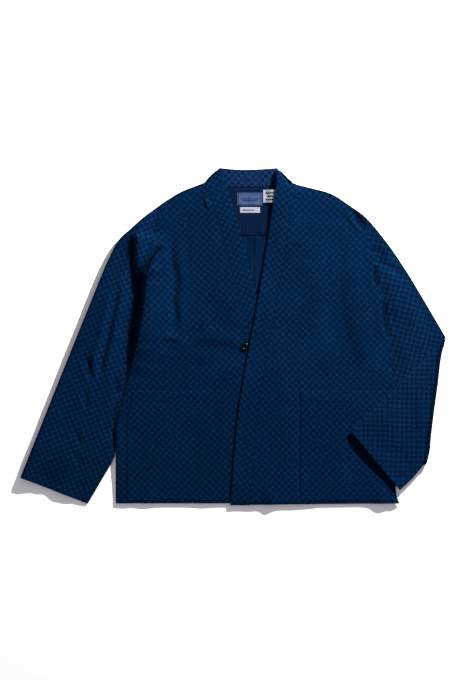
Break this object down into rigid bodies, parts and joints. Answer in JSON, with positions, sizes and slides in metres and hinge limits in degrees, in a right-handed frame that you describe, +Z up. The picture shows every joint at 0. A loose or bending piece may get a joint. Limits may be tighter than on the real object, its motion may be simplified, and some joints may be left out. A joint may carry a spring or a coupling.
{
  "type": "haori jacket laid out flat",
  "caption": "Short indigo haori jacket laid flat, its fronts crossed and held by a button and loop, with one sleeve folded back at the elbow.",
  "frame": {"origin": "centre of the bounding box in plan, on the surface the jacket lies on", "axes": "+Z up, off the surface; +Y from hem to collar; +X across the jacket, towards the folded sleeve"},
  "size_m": [0.8966, 0.7076, 0.0205],
  "materials": {
    "indigo_cloth": "indigo cotton woven with a small two-tone check, matt with a faint sheen",
    "indigo_band": "the same checked indigo cotton, doubled and pressed",
    "navy_lining_cloth": "plain navy cotton, matt",
    "label_blue": "woven mid-blue label with a plain border",
    "label_white": "off-white satin label tape",
    "button_black": "glossy black",
    "loop_cord": "dark braided cord"
  },
  "bodies": {
    "root": {"back": "indigo_cloth", "band_back": "indigo_band", "back_yoke": "navy_lining_cloth", "label_main": "label_blue", "label_small": "label_white", "label_care": "label_white", "front_left": "indigo_cloth", "front_right": "indigo_cloth", "band_left": "indigo_band", "band_right": "indigo_band", "sleeve_left": "indigo_cloth", "sleeve_right_upper": "indigo_cloth", "sleeve_right_forearm": "indigo_cloth", "pocket_left": "indigo_cloth", "pocket_right": "indigo_cloth", "button": "button_black", "button_loop": "loop_cord"}
  },
  "joints": []
}
